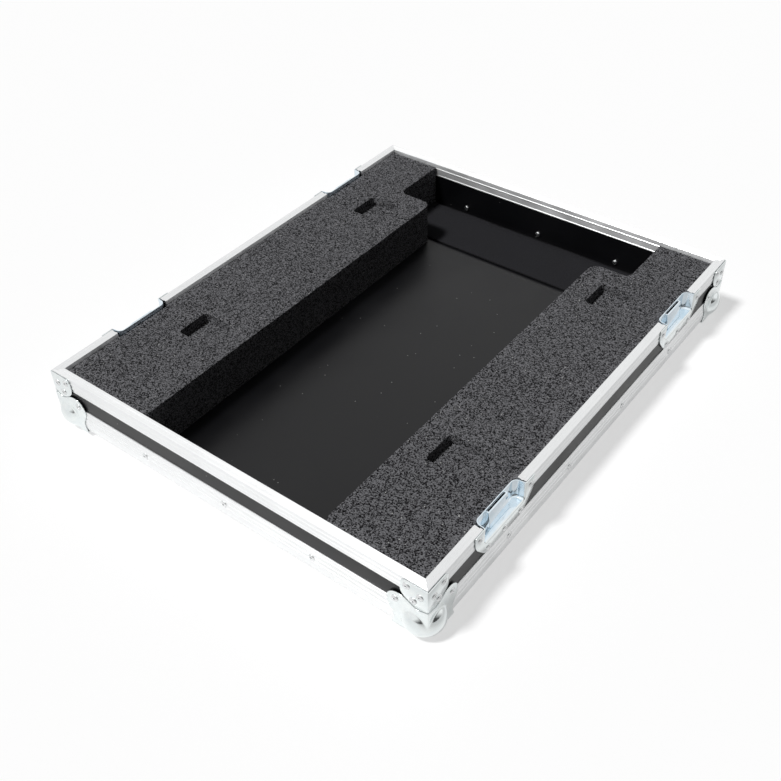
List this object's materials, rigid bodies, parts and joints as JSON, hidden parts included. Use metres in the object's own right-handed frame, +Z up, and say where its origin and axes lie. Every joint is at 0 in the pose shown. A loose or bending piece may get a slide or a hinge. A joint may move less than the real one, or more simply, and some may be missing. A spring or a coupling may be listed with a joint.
{
  "type": "flight case tray",
  "caption": "Open bottom tray of a flight case for a compact mixer: laminated boards, metal rim and edging, ball corners, recessed latch dishes and foam blocks with foot pockets.",
  "frame": {"origin": "middle of the plan on the ground, under the four ball corners", "axes": "+X to the right along the front, +Y from the front to the back, +Z up out of the open tray"},
  "size_m": [0.568, 0.692, 0.086],
  "materials": {
    "laminated_board": "satin",
    "aluminium_rim": "satin",
    "aluminium_edging": "satin",
    "zinc_plated_steel": "polished",
    "rivets": "satin",
    "black_foam": "matte",
    "black_mat": "matte"
  },
  "bodies": {
    "root": {"floor_board": "laminated_board", "wall_front": "laminated_board", "lower_angle_front": "aluminium_edging", "edge_rivets_front": "rivets", "wall_back": "laminated_board", "lower_angle_back": "aluminium_edging", "edge_rivets_back": "rivets", "wall_left": "laminated_board", "lower_angle_left": "aluminium_edging", "edge_rivets_left": "rivets", "wall_right": "laminated_board", "lower_angle_right": "aluminium_edging", "edge_rivets_right": "rivets", "rim_front": "aluminium_rim", "rim_back": "aluminium_rim", "rim_left_front": "aluminium_rim", "rim_left_middle": "aluminium_rim", "rim_left_rear": "aluminium_rim", "foam_block_left": "black_foam", "rim_right_front": "aluminium_rim", "rim_right_middle": "aluminium_rim", "rim_right_rear": "aluminium_rim", "foam_block_right": "black_foam", "bay_mat": "black_mat", "floor_rivets": "rivets", "corner_angle_front_left": "aluminium_edging", "corner_brace_front_left": "zinc_plated_steel", "ball_corner_front_left": "zinc_plated_steel", "latch_dish_front_left": "zinc_plated_steel", "latch_keeper_front_left": "zinc_plated_steel", "corner_rivets_front_left": "rivets", "latch_rivets_front_left": "rivets", "corner_angle_rear_left": "aluminium_edging", "corner_brace_rear_left": "zinc_plated_steel", "ball_corner_rear_left": "zinc_plated_steel", "latch_dish_rear_left": "zinc_plated_steel", "latch_keeper_rear_left": "zinc_plated_steel", "corner_rivets_rear_left": "rivets", "latch_rivets_rear_left": "rivets", "corner_angle_front_right": "aluminium_edging", "corner_brace_front_right": "zinc_plated_steel", "ball_corner_front_right": "zinc_plated_steel", "latch_dish_front_right": "zinc_plated_steel", "latch_keeper_front_right": "zinc_plated_steel", "corner_rivets_front_right": "rivets", "latch_rivets_front_right": "rivets", "corner_angle_rear_right": "aluminium_edging", "corner_brace_rear_right": "zinc_plated_steel", "ball_corner_rear_right": "zinc_plated_steel", "latch_dish_rear_right": "zinc_plated_steel", "latch_keeper_rear_right": "zinc_plated_steel", "corner_rivets_rear_right": "rivets", "latch_rivets_rear_right": "rivets"}
  },
  "joints": []
}
